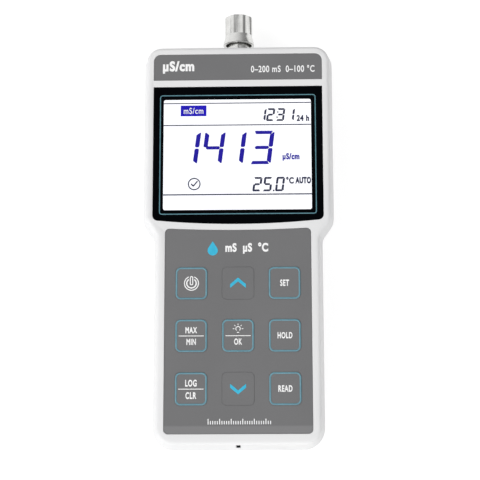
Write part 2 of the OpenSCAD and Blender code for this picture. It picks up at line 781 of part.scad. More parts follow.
// Sunk panel and grip lines on the outside of the kickstand
module stand_relief() {
  grip_l = grip_lines * grip_pitch;
  panel_l = stand_l - grip_l - 3 * panel_side;
  translate([0, stand_y - panel_side - panel_l / 2, stand_sink - over])
    linear_extrude(over + panel_depth) rounded(stand_w - 2 * panel_side, panel_l, 3);
  for (i = [0:grip_lines - 1]) translate([0, stand_y - stand_l + panel_side + (i + 0.5) * grip_pitch, 0])
    block(notch_w, grip_line_w, stand_sink - over, stand_sink + grip_depth);
}

module kickstand_pins() color(steel_colour)
  for (s = [-1, 1]) translate([s * (stand_w / 2 - pin_in_stand), stand_y, stand_z])
    rotate([0, s * 90, 0]) cylinder(r = pin_r, h = pin_l);

module socket_shell() color(metal_colour) difference() {
  union() {
    turned(neck_r, flange_y - neck_l, flange_y + 0.1);
    turned(flange_r, flange_y, barrel_y);
    turned(barrel_r, barrel_y - 0.1, barrel_end);
    for (s = [-1, 1]) translate([0, lug_y, socket_z]) rotate([0, s * 90, 0])
      cylinder(r = lug_r, h = barrel_r + lug_h);
  }
  turned(barrel_bore_r, flange_y, barrel_end + over);
  turned(insulator_r, flange_y - neck_l - over, flange_y + over);
}

module socket_insulator() color("#f4f4f0") difference() {
  union() {
    turned(insulator_r, flange_y - neck_l, flange_y);
    turned(barrel_bore_r - 0.05, flange_y, flange_y + 1);
    turned(insulator_r - 0.2, flange_y + 1, contact_end);
  }
  turned(contact_r, flange_y - neck_l - over, barrel_end + over);
}

module socket_contact() color("#d9b45a") difference() {
  turned(contact_r, flange_y - neck_l - 2, contact_end);
  turned(contact_r * 0.5, contact_end - 5, barrel_end);
}

module socket_gasket() color(dark_colour) difference() {
  turned(flange_r, socket_y, flange_y);
  turned(neck_r + 0.05, socket_y - over, flange_y + over);
}

module socket_washer() color(steel_colour) difference() {
  turned(neck_r + 1.6, pad_back - socket_washer_t, pad_back);
  turned(neck_r + 0.1, pad_back - 2 * over, pad_back + over);
}

module socket_nut() color(metal_colour) difference() {
  translate([0, pad_back - socket_washer_t - nut_t, socket_z]) rotate([-90, 0, 0])
    cylinder(r = nut_flats / sqrt(3), h = nut_t, $fn = 6);
  turned(neck_r + thread_gap, pad_back - 5 * over, pad_back);
}

module cap_body() color(metal_colour) {
  turned(cap_disc_r, cap_disc_y, cap_disc_y + cap_disc_t);
  turned(shank_r, cap_disc_y, ring_end);
  turned(cap_head_r, cap_head_y, ring_end);
}

module cap_gasket() color("#2a2b2d") difference() {
  turned(cap_disc_r - 0.2, barrel_end + 0.02, cap_disc_y);
  turned(2, barrel_end - over, cap_disc_y + over);
}

module cap_ring() color(metal_colour) difference() {
  translate([0, 0, socket_z]) rotate([-90, 0, 0]) rotate_extrude() polygon([
    [shank_r + shank_gap, shelf_y], [bore_r, shelf_y], [bore_r, chamber_end], [chamber_r, chamber_end],
    [chamber_r, mouth_y + 0.4], [chamber_r + 0.3, mouth_y],
    [mouth_r - 0.3, mouth_y], [mouth_r, mouth_y + 0.3], [mouth_r - 0.2, mouth_y + 1.6],
    [ring_r + 0.1, mouth_y + collar_l - 0.8], [ring_r, mouth_y + collar_l], [ring_r, ring_end - 0.4],
    [ring_r - 0.4, ring_end], [head_room_r, ring_end], [head_room_r, head_room_y],
    [shank_r + shank_gap, head_room_y]
  ]);
  for (i = [0:flutes - 1]) translate([0, 0, socket_z]) rotate([0, flute_phase + 360 * i / flutes, 0])
    translate([0, flute_y, ring_r - flute_depth + flute_r]) rotate([-90, 0, 0])
      cylinder(r = flute_r, h = ring_l);
}

rear_case();
front_case();
case_seal();
case_screws();
header_plate();
window_pane();
window_gasket();
lcd_glass();
lcd_backlight();
lcd_frame();
lcd_contact_strips();
keypad_overlay();
key(0);  // key_power
key(1);  // key_up
key(2);  // key_set
key(3);  // key_mode
key(4);  // key_enter
key(5);  // key_unit
key(6);  // key_memory
key(7);  // key_down
key(8);  // key_measure
main_board();
key_switches();
board_chips();
board_screws();
buzzer();
battery_door();
door_gasket();
door_screws();
cell(-1, 1);  // cell_left
cell(0, -1);  // cell_middle
cell(1, 1);  // cell_right
contact_plates();
contact_springs();
kickstand();
kickstand_pins();
socket_shell();
socket_insulator();
socket_contact();
socket_gasket();
socket_washer();
socket_nut();
cap_body();
cap_gasket();
cap_ring();
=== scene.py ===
"""Looks of a portable conductivity meter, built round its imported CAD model.

Lengths are written in millimetres and become metres when a mesh or a pattern is made.
"""
import math

import bmesh
import bpy
from mathutils import Euler, Matrix, Vector
from mathutils.geometry import delaunay_2d_cdt


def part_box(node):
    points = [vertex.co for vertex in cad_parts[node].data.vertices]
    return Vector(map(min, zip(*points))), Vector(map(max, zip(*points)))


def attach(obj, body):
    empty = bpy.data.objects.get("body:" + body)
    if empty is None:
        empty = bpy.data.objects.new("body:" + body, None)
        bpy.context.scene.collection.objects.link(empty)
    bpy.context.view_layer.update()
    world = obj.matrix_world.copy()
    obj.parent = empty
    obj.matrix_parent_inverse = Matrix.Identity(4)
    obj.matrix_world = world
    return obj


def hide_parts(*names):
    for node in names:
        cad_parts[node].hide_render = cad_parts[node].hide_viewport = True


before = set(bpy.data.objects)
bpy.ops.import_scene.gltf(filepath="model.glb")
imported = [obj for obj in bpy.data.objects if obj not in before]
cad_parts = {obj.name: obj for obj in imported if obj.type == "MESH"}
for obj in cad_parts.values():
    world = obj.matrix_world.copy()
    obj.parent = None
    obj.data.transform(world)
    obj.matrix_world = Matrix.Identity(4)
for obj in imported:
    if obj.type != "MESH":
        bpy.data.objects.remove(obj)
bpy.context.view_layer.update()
scene = bpy.context.scene
MM = 0.001


def to_metres(*point):
    """A vector in metres, from millimetres."""
    return Vector(point) * MM


# Camera, where the photographer stood
camera_data = bpy.data.cameras.new("camera")
camera_data.sensor_fit = "HORIZONTAL"
camera_data.sensor_width = 36
camera_data.lens = 112.5
camera_data.clip_start = 0.01
camera = bpy.data.objects.new("camera", camera_data)
camera.location = to_metres(18.71, -140.29, 682.07)
camera.rotation_euler = Euler(map(math.radians, (12.194, 1.588, -0.079)))
scene.collection.objects.link(camera)
scene.camera = camera
scene.view_settings.view_transform = "Standard"


# Colours, nodes and materials

def linear(hex_colour):
    """The linear colour of an sRGB hex value."""
    parts = [int(hex_colour[i:i + 2], 16) / 255 for i in (1, 3, 5)]
    return tuple(c / 12.92 if c <= 0.04045 else ((c + 0.055) / 1.055) ** 2.4 for c in parts) + (1,)


def add(tree, kind, inputs=None, stops=(), **settings):
    """Adds a node with its settings and links. An input takes a value, a socket, a node for its first
    output, or a list of sockets. Stops are the places and hex colours of a colour ramp."""
    made = tree.nodes.new(kind)
    for name, value in settings.items():
        setattr(made, name, value)
    for name, value in (inputs or {}).items():
        values = value if isinstance(value, list) else [value]
        sources = [v.outputs[0] if isinstance(v, bpy.types.Node) else v for v in values]
        if isinstance(sources[0], bpy.types.NodeSocket):
            for source in sources:
                tree.links.new(source, made.inputs[name])
        else:
            made.inputs[name].default_value = value
    for i, (position, colour) in enumerate(stops):
        element = made.color_ramp.elements[i] if i < 2 else made.color_ramp.elements.new(position)
        element.position = position
        element.color = linear(colour)
    return made


def repeats(size):
    """Scale of a noise whose spots are about size millimetres across."""
    return 1 / (size * MM)


def bands(pitch):
    """Scale of a wave texture with one band every pitch millimetres."""
    return math.pi / 10 / (pitch * MM)


def blank(name):
    """An empty material, with its tree and the place on the piece."""
    material = bpy.data.materials.new(name)
    material.use_nodes = True
    tree = material.node_tree
    tree.nodes.clear()
    return material, tree, add(tree, "ShaderNodeTexCoord").outputs["Object"]


def moulded_abs():
    """Light grey ABS, moulded in a spark-eroded tool: even and satin, with a fine pebbled grain."""
    material, tree, place = blank("moulded_light_grey_abs")
    flow = add(tree, "ShaderNodeTexNoise", {"Vector": place, "Scale": repeats(35), "Detail": 2})
    colour = add(tree, "ShaderNodeValToRGB", {"Fac": flow}, [(0.3, "#e0e0e1"), (0.7, "#e4e4e4")])
    pebbles = add(tree, "ShaderNodeTexNoise", {"Vector": place, "Scale": repeats(0.5), "Detail": 3})
    dullness = add(tree, "ShaderNodeMapRange", {"Value": pebbles, "To Min": 0.38, "To Max": 0.52})
    grain = add(tree, "ShaderNodeBump", {"Height": pebbles, "Distance": 0.02 * MM, "Strength": 0.5})
    shader = add(tree, "ShaderNodeBsdfPrincipled", {
        "Base Color": colour, "Roughness": dullness, "Normal": grain, "Specular IOR Level": 0.35})
    add(tree, "ShaderNodeOutputMaterial", {"Surface": shader})
    return material


def keypad_film():
    """Grey polyester film, printed on its back and embossed: matt, with a painted highlight that makes it a
    little paler at the foot, standing in for light on the film where it curves down."""
    painted_sheen_start = -81.6 * MM
    painted_sheen_end = -82.4 * MM
    material, tree, place = blank("printed_grey_polyester")
    cloud = add(tree, "ShaderNodeTexNoise", {"Vector": place, "Scale": repeats(28), "Detail": 2})
    print_grey = add(tree, "ShaderNodeValToRGB", {"Fac": cloud}, [(0.3, "#6f6f70"), (0.7, "#727273")])
    along = add(tree, "ShaderNodeSeparateXYZ", {"Vector": place}).outputs["Y"]
    # Painted highlight: the colour grows paler towards the foot, in place of light on a curve that is not
    # modelled
    painted_sheen_share = add(tree, "ShaderNodeMapRange", {"Value": along, "From Min": painted_sheen_start, "From Max": painted_sheen_end})
    colour = add(tree, "ShaderNodeMixRGB", {
        "Fac": painted_sheen_share, "Color1": print_grey, "Color2": linear("#7d7d7e")})
    emboss = add(tree, "ShaderNodeTexNoise", {"Vector": place, "Scale": repeats(0.3), "Detail": 1})
    dullness = add(tree, "ShaderNodeMapRange", {"Value": emboss, "To Min": 0.5, "To Max": 0.62})
    relief = add(tree, "ShaderNodeBump", {"Height": emboss, "Distance": 0.012 * MM, "Strength": 0.4})
    shader = add(tree, "ShaderNodeBsdfPrincipled", {
        "Base Color": colour, "Roughness": dullness, "Normal": relief, "Specular IOR Level": 0.25})
    add(tree, "ShaderNodeOutputMaterial", {"Surface": shader})
    return material


def black_acrylic():
    """Cast acrylic printed black on its back: deep black, polished, with faint marks of a wiping cloth."""
    material, tree, place = blank("polished_black_acrylic")
    depth = add(tree, "ShaderNodeTexNoise", {"Vector": place, "Scale": repeats(60)})
    colour = add(tree, "ShaderNodeValToRGB", {"Fac": depth}, [(0.3, "#010204"), (0.7, "#030407")])
    wiping = add(tree, "ShaderNodeTexNoise", {"Vector": place, "Scale": repeats(18), "Detail": 4})
    polish = add(tree, "ShaderNodeMapRange", {"Value": wiping, "To Min": 0.03, "To Max": 0.09})
    shader = add(tree, "ShaderNodeBsdfPrincipled", {
        "Base Color": colour, "Roughness": polish, "IOR": 1.49, "Specular IOR Level": 0.2})
    add(tree, "ShaderNodeOutputMaterial", {"Surface": shader})
    return material


def lit_display():
    """Back-lit liquid crystal behind acrylic: almost white, a touch bluer where the light guide is thin."""
    material, tree, place = blank("lit_display_ground")
    guide = add(tree, "ShaderNodeTexNoise", {"Vector": place, "Scale": repeats(45)})
    colour = add(tree, "ShaderNodeValToRGB", {"Fac": guide}, [(0.3, "#f6f8fd"), (0.7, "#fcfcff")])
    shader = add(tree, "ShaderNodeBsdfPrincipled", {
        "Base Color": colour, "Roughness": 0.08, "IOR": 1.49, "Specular IOR Level": 0.2,
        "Emission Color": linear("#f6f8ff"), "Emission Strength": 0.16})
    add(tree, "ShaderNodeOutputMaterial", {"Surface": shader})
    return material


def ink(name, thick, thin, roughness=0.3, specular=0.3, mesh_size=2.5):
    """Screen-printed ink: flat and opaque, a little uneven in the layer that the mesh lays down."""
    material, tree, place = blank(name)
    layer = add(tree, "ShaderNodeTexNoise", {"Vector": place, "Scale": repeats(mesh_size), "Detail": 3})
    colour = add(tree, "ShaderNodeValToRGB", {"Fac": layer}, [(0.3, thin), (0.7, thick)])
    threads = add(tree, "ShaderNodeTexNoise", {"Vector": place, "Scale": repeats(0.25), "Detail": 1})
    relief = add(tree, "ShaderNodeBump", {"Height": threads, "Distance": 0.004 * MM, "Strength": 0.3})
    shader = add(tree, "ShaderNodeBsdfPrincipled", {
        "Base Color": colour, "Roughness": roughness, "Normal": relief, "Specular IOR Level": specular})
    add(tree, "ShaderNodeOutputMaterial", {"Surface": shader})
    return material


def turned_nickel():
    """Brass turned on a lathe and nickel plated: bright and warm, with fine rings left by the tool."""
    material, tree, place = blank("turned_nickel_plate")
    tarnish = add(tree, "ShaderNodeTexNoise", {"Vector": place, "Scale": repeats(4), "Detail": 3})
    colour = add(tree, "ShaderNodeValToRGB", {"Fac": tarnish}, [(0.3, "#d4d4d2"), (0.7, "#e2e2e0")])
    # The tool moves 0.12 mm a turn, drawn at 0.4 mm so that it shows
    rings = add(tree, "ShaderNodeTexWave", {
        "Vector": place, "Scale": bands(0.4), "Distortion": 0.5, "Detail": 1.0},
        wave_type="BANDS", bands_direction="Y").outputs["Fac"]
    polish = add(tree, "ShaderNodeMapRange", {"Value": rings, "To Min": 0.17, "To Max": 0.26})
    relief = add(tree, "ShaderNodeBump", {"Height": rings, "Distance": 0.004 * MM, "Strength": 0.25})
    shader = add(tree, "ShaderNodeBsdfPrincipled", {
        "Base Color": colour, "Metallic": 1.0, "Roughness": polish, "Normal": relief})
    add(tree, "ShaderNodeOutputMaterial", {"Surface": shader})
    return material


def zinc_plate():
    """Steel, zinc plated in a barrel: grey and lightly clouded."""
    material, tree, place = blank("zinc_plated_steel")
    clouds = add(tree, "ShaderNodeTexNoise", {"Vector": place, "Scale": repeats(1.2), "Detail": 4})
    colour = add(tree, "ShaderNodeValToRGB", {"Fac": clouds}, [(0.3, "#a9acb0"), (0.7, "#c3c5c8")])
    dullness = add(tree, "ShaderNodeMapRange", {"Value": clouds, "To Min": 0.26, "To Max": 0.42})
    pits = add(tree, "ShaderNodeTexNoise", {"Vector": place, "Scale": repeats(0.2), "Detail": 2})
    relief = add(tree, "ShaderNodeBump", {"Height": pits, "Distance": 0.003 * MM, "Strength": 0.4})
    shader = add(tree, "ShaderNodeBsdfPrincipled", {
        "Base Color": colour, "Metallic": 1.0, "Roughness": dullness, "Normal": relief})
    add(tree, "ShaderNodeOutputMaterial", {"Surface": shader})
    return material


def silicone(name, dark, light):
    """Moulded silicone rubber: dull, with a dusty bloom."""
    material, tree, place = blank(name)
    bloom = add(tree, "ShaderNodeTexNoise", {"Vector": place, "Scale": repeats(3), "Detail": 4})
    colour = add(tree, "ShaderNodeValToRGB", {"Fac": bloom}, [(0.3, dark), (0.7, light)])
    skin = add(tree, "ShaderNodeTexNoise", {"Vector": place, "Scale": repeats(0.3), "Detail": 2})
    relief = add(tree, "ShaderNodeBump", {"Height": skin, "Distance": 0.01 * MM, "Strength": 0.5})
    shader = add(tree, "ShaderNodeBsdfPrincipled", {
        "Base Color": colour, "Roughness": 0.78, "Normal": relief, "Specular IOR Level": 0.3})
    add(tree, "ShaderNodeOutputMaterial", {"Surface": shader})
    return material


def small_moulding(name, dark, light, roughness=0.45):
    """Small mouldings from a smooth tool: a soft shine that changes where the plastic flowed."""
    material, tree, place = blank(name)
    flow = add(tree, "ShaderNodeTexNoise", {"Vector": place, "Scale": repeats(6), "Detail": 3})
    colour = add(tree, "ShaderNodeValToRGB", {"Fac": flow}, [(0.3, dark), (0.7, light)])
    dullness = add(tree, "ShaderNodeMapRange", {
        "Value": flow, "To Min": roughness - 0.08, "To Max": roughness + 0.08})
    skin = add(tree, "ShaderNodeTexNoise", {"Vector": place, "Scale": repeats(0.4), "Detail": 2})
    relief = add(tree, "ShaderNodeBump", {"Height": skin, "Distance": 0.006 * MM, "Strength": 0.4})
    shader = add(tree, "ShaderNodeBsdfPrincipled", {
        "Base Color": colour, "Roughness": dullness, "Normal": relief, "Specular IOR Level": 0.4})
    add(tree, "ShaderNodeOutputMaterial", {"Surface": shader})
    return material


def solder_mask():
    """Glass-fibre laminate under green solder mask: copper tracks show as paler, raised lines."""
    material, tree, place = blank("green_solder_mask")
    tracks = add(tree, "ShaderNodeTexBrick", {
        "Vector": place, "Scale": repeats(1), "Mortar Size": 0.12, "Mortar Smooth": 0.1, "Brick Width": 3.2,
        "Row Height": 1.3, "Color1": (0, 0, 0, 1), "Color2": (0, 0, 0, 1), "Mortar": (1, 1, 1, 1)})
    colour = add(tree, "ShaderNodeValToRGB", {"Fac": tracks}, [(0.2, "#12502a"), (0.8, "#2c7a45")])
    relief = add(tree, "ShaderNodeBump", {"Height": tracks, "Distance": 0.03 * MM, "Strength": 0.5})
    shader = add(tree, "ShaderNodeBsdfPrincipled", {
        "Base Color": colour, "Roughness": 0.25, "Normal": relief})
    add(tree, "ShaderNodeOutputMaterial", {"Surface": shader})
    return material


def cell_sleeve():
    """Printed film shrunk round a cell: glossy blue, silver at one end."""
    material, tree, place = blank("printed_cell_sleeve")
    start = -62 * MM
    end = -12 * MM
    along = add(tree, "ShaderNodeSeparateXYZ", {"Vector": place}).outputs["Y"]
    share = add(tree, "ShaderNodeMapRange", {"Value": along, "From Min": start, "From Max": end})
    colour = add(tree, "ShaderNodeValToRGB", {"Fac": share},
                 [(0.0, "#23395e"), (0.55, "#2b4a7a"), (0.78, "#c9cbcf"), (0.9, "#d9dade")])
    wrinkles = add(tree, "ShaderNodeTexNoise", {"Vector": place, "Scale": repeats(2), "Detail": 2})
    relief = add(tree, "ShaderNodeBump", {"Height": wrinkles, "Distance": 0.01 * MM, "Strength": 0.4})
    shader = add(tree, "ShaderNodeBsdfPrincipled", {
        "Base Color": colour, "Roughness": 0.28, "Normal": relief, "Coat Weight": 0.3})
    add(tree, "ShaderNodeOutputMaterial", {"Surface": shader})
    return material


def float_glass():
    """Ground edge and polished face of the display cell: float glass, faintly green."""
    material, tree, place = blank("display_float_glass")
    tint = add(tree, "ShaderNodeTexNoise", {"Vector": place, "Scale": repeats(20)})
    colour = add(tree, "ShaderNodeValToRGB", {"Fac": tint}, [(0.3, "#cfd8d6"), (0.7, "#dbe3e1")])
    shader = add(tree, "ShaderNodeBsdfPrincipled", {"Base Color": colour, "Roughness": 0.06, "IOR": 1.52})
    add(tree, "ShaderNodeOutputMaterial", {"Surface": shader})
    return material


def gold_flash():
    """Gold flashed over nickel on a turned contact: warm, and worn a little paler in places."""
    material, tree, place = blank("gold_flashed_brass")
    wear = add(tree, "ShaderNodeTexNoise", {"Vector": place, "Scale": repeats(1.5), "Detail": 3})
    colour = add(tree, "ShaderNodeValToRGB", {"Fac": wear}, [(0.3, "#d9a94a"), (0.7, "#e8c26a")])
    shader = add(tree, "ShaderNodeBsdfPrincipled", {"Base Color": colour, "Metallic": 1.0, "Roughness": 0.2})
    add(tree, "ShaderNodeOutputMaterial", {"Surface": shader})
    return material


light_abs = moulded_abs()
grey_film = keypad_film()
window_black = black_acrylic()
display_white = lit_display()
nickel = turned_nickel()
zinc_steel = zinc_plate()
black_rubber = silicone("black_silicone_rubber", "#161718", "#202224")
zebra_rubber = silicone("pink_contact_elastomer", "#b0567e", "#c46c92")
white_nylon = small_moulding("natural_white_nylon", "#dcdcd4", "#e6e6de")
milky_acrylic = small_moulding("milky_acrylic", "#eef2f6", "#f6f9fb", 0.3)
black_nylon = small_moulding("black_glass_filled_nylon", "#17181a", "#222427")
green_board = solder_mask()
blue_sleeve = cell_sleeve()
display_glass = float_glass()
gold_brass = gold_flash()
key_line_ink = ink("teal_screen_ink", "#6c98a6", "#638d9b")
window_line_ink = ink("window_line_ink", "#648f9a", "#58808b", 0.1, 0.2)
cyan_ink = ink("cyan_screen_ink", "#45bddd", "#3bb0d2")
white_ink = ink("white_screen_ink", "#f8f8f8", "#eeeeee")
segment_blue = ink("blue_display_segment", "#2c24a2", "#262096", 0.1, 0.2)
box_blue = ink("lit_blue_box", "#2a22bc", "#241dae", 0.1, 0.2)
segment_grey = ink("grey_display_segment", "#3a3d54", "#34374c", 0.1, 0.2)

for name, material in {
    "case_seal": black_rubber, "window_gasket": black_rubber, "door_gasket": black_rubber,
    "socket_gasket": black_rubber, "cap_gasket": black_rubber, "lcd_contact_strips": zebra_rubber,
    "lcd_glass": display_glass, "lcd_backlight": milky_acrylic, "lcd_frame": white_nylon,
    "main_board": green_board, "key_switches": black_nylon, "board_chips": black_nylon,
    "board_screws": zinc_steel, "buzzer": black_nylon, "cell_left": blue_sleeve,
    "cell_middle": blue_sleeve, "cell_right": blue_sleeve, "contact_plates": zinc_steel,
    "contact_springs": zinc_steel, "kickstand_pins": zinc_steel, "socket_insulator": white_nylon,
    "socket_contact": gold_brass, "socket_washer": zinc_steel, "socket_nut": nickel,
}.items():
    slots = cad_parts[name].data.materials
    slots.clear()
    slots.append(material)


# Rigid pieces: the CAD solids with their faces joined and their edges broken

def keep(piece, body, material, slot, *nodes):
    """Gives a finished piece its material and body, and lets it stand for CAD nodes."""
    piece.data.materials.clear()
    piece.data.materials.append(material)
    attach(piece, body)
    if nodes:
        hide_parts(*nodes)


def piece_from(name, mesh):
    """A new object in the scene. Its data is a mesh or a text."""
    piece = bpy.data.objects.new(name, mesh)
    scene.collection.objects.link(piece)
    return piece


def piece_of(name, made):
    """Turns a mesh under edit into a piece."""
    mesh = bpy.data.meshes.new(name)
    made.to_mesh(mesh)
    made.free()
    return piece_from(name, mesh)


def apply_modifiers(piece):
    """Turns a piece with modifiers into a plain mesh."""
    shape = piece.evaluated_get(bpy.context.evaluated_depsgraph_get())
    mesh = bpy.data.meshes.new_from_object(shape)
    piece.modifiers.clear()
    piece.data = mesh


def smooth_by_angle(mesh, angle):
    """Smooth shading that stays crisp at edges sharper than angle degrees."""
    mesh.shade_smooth()
    mesh.set_sharp_from_angle(angle=math.radians(angle))


# Corners closer than this many millimetres are one, and faces that turn by fewer degrees are one face
WELD = 0.002
FLAT_ANGLE = 0.6


def merged_copy(node):
    """A CAD node's mesh with its loose triangles joined and its flat faces made whole, ready for editing."""
    joined = bmesh.new()
    joined.from_mesh(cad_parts[node].data)
    bmesh.ops.remove_doubles(joined, verts=joined.verts, dist=WELD * MM)
    bmesh.ops.dissolve_limit(joined, angle_limit=math.radians(FLAT_ANGLE),
                             verts=joined.verts, edges=joined.edges)
    return joined


SEAM_Z = 23
SEAM_SIDE = {"front_case": 1, "rear_case": -1}
GROOVE_HALF_WIDTH = 0.3
GROOVE_DEPTH = 0.25


def groove_seam(joined, side):
    """Leans the outer rim of a case half inwards, so that the two halves meet in a V-groove."""
    seam = SEAM_Z * MM
    bmesh.ops.bisect_plane(joined, geom=joined.verts[:] + joined.edges[:] + joined.faces[:],
                           plane_co=(0, 0, seam + side * GROOVE_HALF_WIDTH * MM), plane_no=(0, 0, 1))
    level = {v for v in joined.verts if abs(v.co.z - seam) < 2.5 * WELD * MM}
    rim = {}
    fresh = [max(level, key=lambda v: v.co.x)]
    while fresh:
        vert = fresh.pop()
        if vert not in rim:
            walls = [f for f in vert.link_faces if abs(f.normal.z) < 0.5]
            rim[vert] = sum((f.normal for f in walls), Vector())
            fresh += [e.other_vert(vert) for e in vert.link_edges
                      if e.other_vert(vert) in level and any(f in walls for f in e.link_faces)]
    for vert, away in rim.items():
        away.z = 0
        vert.co -= away.normalized() * GROOVE_DEPTH * MM


def broken_edges(node, name, radius, angle=32, segments=2):
    """A copy of a CAD node with its sharp edges rounded to radius, or to less where they lie close."""
    joined = merged_copy(node)
    if node in SEAM_SIDE:
        groove_seam(joined, SEAM_SIDE[node])
    piece = piece_of(name, joined)
    smooth_by_angle(piece.data, angle)
    bevel = piece.modifiers.new("broken_edges", "BEVEL")
    bevel.width = radius * MM
    bevel.segments = segments
    bevel.limit_method = "ANGLE"
    bevel.angle_limit = math.radians(angle)
    bevel.harden_normals = True
    bevel.miter_outer = "MITER_ARC"
    apply_modifiers(piece)
    return piece


KEYS = ("power", "up", "set", "mode", "enter", "unit", "memory", "down", "measure")

for node, name, radius, material, slot, body in (
    ("rear_case", "back_shell", 0.3, light_abs, "case_plastic", "case"),
    ("front_case", "front_shell", 0.3, light_abs, "case_plastic", "case"),
    ("battery_door", "battery_cover", 0.12, light_abs, "case_plastic", "case"),
    ("kickstand", "fold_out_stand", 0.4, light_abs, "case_plastic", "stand"),
    ("header_plate", "header_film", 0.06, grey_film, "header_film", "case"),
    ("window_pane", "display_window", 0.15, window_black, "window_acrylic", "case"),
    ("keypad_overlay", "keypad_front", 0.06, grey_film, "panel_plastic", "case"),
    ("socket_shell", "bayonet_socket", 0.12, nickel, "nickel_plate", "case"),
    ("cap_body", "cap_core", 0.15, nickel, "nickel_plate", "cap"),
    ("cap_ring", "fluted_cap_ring", 0.12, nickel, "nickel_plate", "ring"),
):
    keep(broken_edges(node, name, radius), body, material, slot, node)

for key in KEYS:
    button = broken_edges("key_" + key, "button_" + key, 0.06)
    keep(button, key + "_key", grey_film, "panel_plastic", "key_" + key)


# Pieces that repeat, grown on a mesh whose points are their places

def sized_tree(name, lengths, counts=()):
    """A Geometry Nodes tree with a named input for each length and count, and its incoming sockets."""
    tree = bpy.data.node_groups.new(name, "GeometryNodeTree")
    tree.interface.new_socket("Geometry", in_out="INPUT", socket_type="NodeSocketGeometry")
    for length in lengths:
        tree.interface.new_socket(length, in_out="INPUT", socket_type="NodeSocketFloat")
    for count in counts:
        tree.interface.new_socket(count, in_out="INPUT", socket_type="NodeSocketInt")
    tree.interface.new_socket("Material", in_out="INPUT", socket_type="NodeSocketMaterial")
    tree.interface.new_socket("Geometry", in_out="OUTPUT", socket_type="NodeSocketGeometry")
    return tree, add(tree, "NodeGroupInput").outputs


def grow(name, tree, places, material, **sizes):
    """Runs a tree on its places, in millimetres, and returns the result as one plain piece."""
    mesh = bpy.data.meshes.new(name)
    mesh.from_pydata([to_metres(*place) for place in places], [], [])
    piece = piece_from(name, mesh)
    modifier = piece.modifiers.new(name, "NODES")
    modifier.node_group = tree
    for socket in tree.interface.items_tree:
        if socket.in_out == "INPUT" and socket.socket_type == "NodeSocketMaterial":
            modifier[socket.identifier] = material
        elif socket.in_out == "INPUT" and socket.name in sizes:
            value = sizes[socket.name]
            modifier[socket.identifier] = value if socket.socket_type == "NodeSocketInt" else value * MM
    apply_modifiers(piece)
    return piece


def band_tree():
    """Rounded rectangular bands, such as the line round a key."""
    tree, given = sized_tree("rounded_bands", ("width", "length", "corner", "line", "thickness"))
    outline = add(tree, "GeometryNodeCurvePrimitiveQuadrilateral", {
        "Width": given["width"], "Height": given["length"]})
    outline = add(tree, "GeometryNodeFilletCurve", {
        "Curve": outline, "Count": 8, "Radius": given["corner"]}, mode="POLY")
    section = add(tree, "GeometryNodeCurvePrimitiveQuadrilateral", {
        "Width": given["line"], "Height": given["thickness"]})
    band = add(tree, "GeometryNodeCurveToMesh", {"Curve": outline, "Profile Curve": section})
    placed = add(tree, "GeometryNodeInstanceOnPoints", {"Points": given["Geometry"], "Instance": band})
    plain = add(tree, "GeometryNodeRealizeInstances", {"Geometry": placed})
    inked = add(tree, "GeometryNodeSetMaterial", {"Geometry": plain, "Material": given["Material"]})
    add(tree, "NodeGroupOutput", {"Geometry": inked})
    return tree


